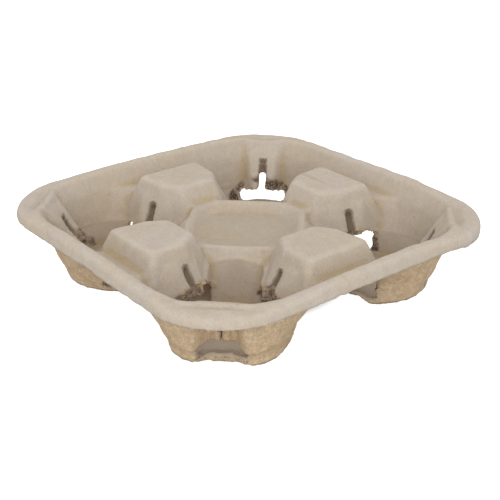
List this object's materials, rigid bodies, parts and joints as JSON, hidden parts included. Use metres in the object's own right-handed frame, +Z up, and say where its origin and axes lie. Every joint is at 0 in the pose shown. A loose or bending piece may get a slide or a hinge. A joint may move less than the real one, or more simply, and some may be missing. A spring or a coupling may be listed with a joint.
{
  "type": "moulded pulp cup carrier",
  "caption": "Square moulded-pulp carrier tray with round cup wells, slotted grip flaps, raised posts between the wells and a turned-down rim.",
  "frame": {"origin": "middle of the tray, at the level of the undersides of the well floors that it stands on", "axes": "+Z up, X and Y along the tray's sides"},
  "size_m": [0.215, 0.215, 0.0447],
  "materials": {
    "pulp": "matt moulded pulp, smooth and grey-beige on top, rougher and browner below"
  },
  "bodies": {
    "root": {"cup_tray": "pulp"}
  },
  "joints": []
}
